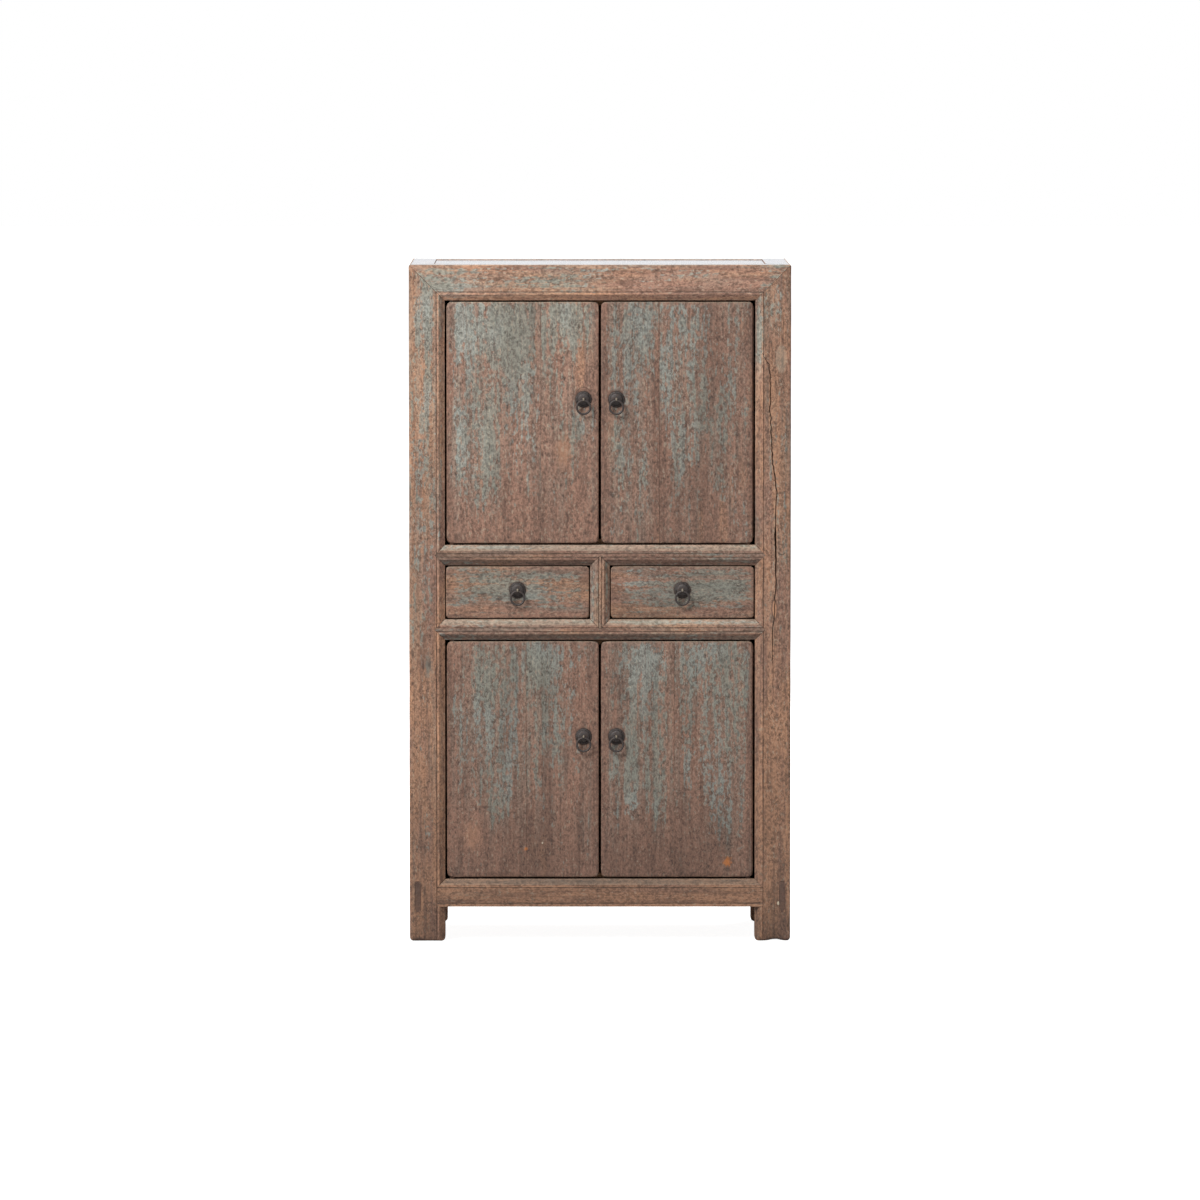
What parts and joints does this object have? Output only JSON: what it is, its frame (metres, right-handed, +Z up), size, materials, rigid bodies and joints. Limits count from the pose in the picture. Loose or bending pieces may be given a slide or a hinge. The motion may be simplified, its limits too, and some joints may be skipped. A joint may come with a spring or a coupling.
{
  "type": "kang cabinet",
  "caption": "Tall framed wooden cupboard with mitred corners, two pairs of pivot-hung doors, a pair of drawers between them and small iron ring pulls.",
  "frame": {"origin": "on the floor, at the middle of the whole cabinet seen from above, pulls included", "axes": "+Z up, +X to the right seen from the front, the doors and drawers face -Y"},
  "size_m": [0.85, 0.4498, 1.51],
  "materials": {
    "frame_wood": "worn, thin blue-green and brown paint over bare wood",
    "panel_wood": "worn brown wood, thinly painted",
    "bare_wood": "bare, dry unpainted wood",
    "painted_wood": "worn blue-green paint over pink-brown ground and bare wood",
    "iron": "dark hand-forged iron, rubbed bright on the high spots"
  },
  "bodies": {
    "carcass": {"post_front_left": "frame_wood", "post_front_right": "frame_wood", "post_back_left": "frame_wood", "post_back_right": "frame_wood", "top_rail_front": "frame_wood", "top_rail_back": "frame_wood", "top_rail_left": "frame_wood", "top_rail_right": "frame_wood", "waist_rail_upper": "frame_wood", "waist_rail_lower": "frame_wood", "drawer_divider": "frame_wood", "bottom_rail_front": "frame_wood", "bottom_rail_back": "frame_wood", "bottom_rail_left": "frame_wood", "bottom_rail_right": "frame_wood", "side_waist_rails": "frame_wood", "back_waist_rails": "frame_wood", "side_panels_left": "panel_wood", "side_panels_right": "panel_wood", "back_panels": "panel_wood", "top_panel": "panel_wood", "deck_boards": "bare_wood", "shelves": "bare_wood", "shelf_bearers": "bare_wood", "drawer_runners": "bare_wood", "door_stops": "bare_wood"},
    "door_upper_left": {"door_upper_left_leaf": "painted_wood", "door_upper_left_battens": "bare_wood", "door_upper_left_backplate": "iron", "door_upper_left_cotter": "iron"},
    "ring_upper_left": {"door_upper_left_ring": "iron"},
    "door_lower_left": {"door_lower_left_leaf": "painted_wood", "door_lower_left_battens": "bare_wood", "door_lower_left_backplate": "iron", "door_lower_left_cotter": "iron"},
    "ring_lower_left": {"door_lower_left_ring": "iron"},
    "drawer_left": {"drawer_left_front": "painted_wood", "drawer_left_sides": "bare_wood", "drawer_left_back": "bare_wood", "drawer_left_bottom": "bare_wood", "drawer_left_backplate": "iron", "drawer_left_cotter": "iron"},
    "ring_drawer_left": {"drawer_left_ring": "iron"},
    "door_upper_right": {"door_upper_right_leaf": "painted_wood", "door_upper_right_battens": "bare_wood", "door_upper_right_backplate": "iron", "door_upper_right_cotter": "iron"},
    "ring_upper_right": {"door_upper_right_ring": "iron"},
    "door_lower_right": {"door_lower_right_leaf": "painted_wood", "door_lower_right_battens": "bare_wood", "door_lower_right_backplate": "iron", "door_lower_right_cotter": "iron"},
    "ring_lower_right": {"door_lower_right_ring": "iron"},
    "drawer_right": {"drawer_right_front": "painted_wood", "drawer_right_sides": "bare_wood", "drawer_right_back": "bare_wood", "drawer_right_bottom": "bare_wood", "drawer_right_backplate": "iron", "drawer_right_cotter": "iron"},
    "ring_drawer_right": {"drawer_right_ring": "iron"}
  },
  "joints": [
    {"name": "door_upper_left_hinge", "type": "hinge", "parent": "carcass", "child": "door_upper_left", "pos_m": [-0.3295, -0.19913, 0.886], "axis": [0, 0, -1], "range_deg": [0, 100]},
    {"name": "ring_upper_left_swing", "type": "hinge", "parent": "door_upper_left", "child": "ring_upper_left", "pos_m": [-0.0365, -0.22073, 1.20819], "axis": [-1, 0, 0], "range_deg": [-8, 175]},
    {"name": "door_lower_left_hinge", "type": "hinge", "parent": "carcass", "child": "door_lower_left", "pos_m": [-0.3295, -0.19913, 0.139], "axis": [0, 0, -1], "range_deg": [0, 100]},
    {"name": "ring_lower_left_swing", "type": "hinge", "parent": "door_lower_left", "child": "ring_lower_left", "pos_m": [-0.0365, -0.22073, 0.45581], "axis": [-1, 0, 0], "range_deg": [-8, 175]},
    {"name": "drawer_left_slide", "type": "slide", "parent": "carcass", "child": "drawer_left", "axis": [0, -1, 0], "range_m": [0, 0.3]},
    {"name": "ring_drawer_left_swing", "type": "hinge", "parent": "drawer_left", "child": "ring_drawer_left", "pos_m": [-0.1835, -0.22073, 0.783], "axis": [-1, 0, 0], "range_deg": [-8, 175]},
    {"name": "door_upper_right_hinge", "type": "hinge", "parent": "carcass", "child": "door_upper_right", "pos_m": [0.3295, -0.19913, 0.886], "axis": [0, 0, 1], "range_deg": [0, 100]},
    {"name": "ring_upper_right_swing", "type": "hinge", "parent": "door_upper_right", "child": "ring_upper_right", "pos_m": [0.0365, -0.22073, 1.20819], "axis": [-1, 0, 0], "range_deg": [-8, 175]},
    {"name": "door_lower_right_hinge", "type": "hinge", "parent": "carcass", "child": "door_lower_right", "pos_m": [0.3295, -0.19913, 0.139], "axis": [0, 0, 1], "range_deg": [0, 100]},
    {"name": "ring_lower_right_swing", "type": "hinge", "parent": "door_lower_right", "child": "ring_lower_right", "pos_m": [0.0365, -0.22073, 0.45581], "axis": [-1, 0, 0], "range_deg": [-8, 175]},
    {"name": "drawer_right_slide", "type": "slide", "parent": "carcass", "child": "drawer_right", "axis": [0, -1, 0], "range_m": [0, 0.3]},
    {"name": "ring_drawer_right_swing", "type": "hinge", "parent": "drawer_right", "child": "ring_drawer_right", "pos_m": [0.1835, -0.22073, 0.783], "axis": [-1, 0, 0], "range_deg": [-8, 175]}
  ]
}
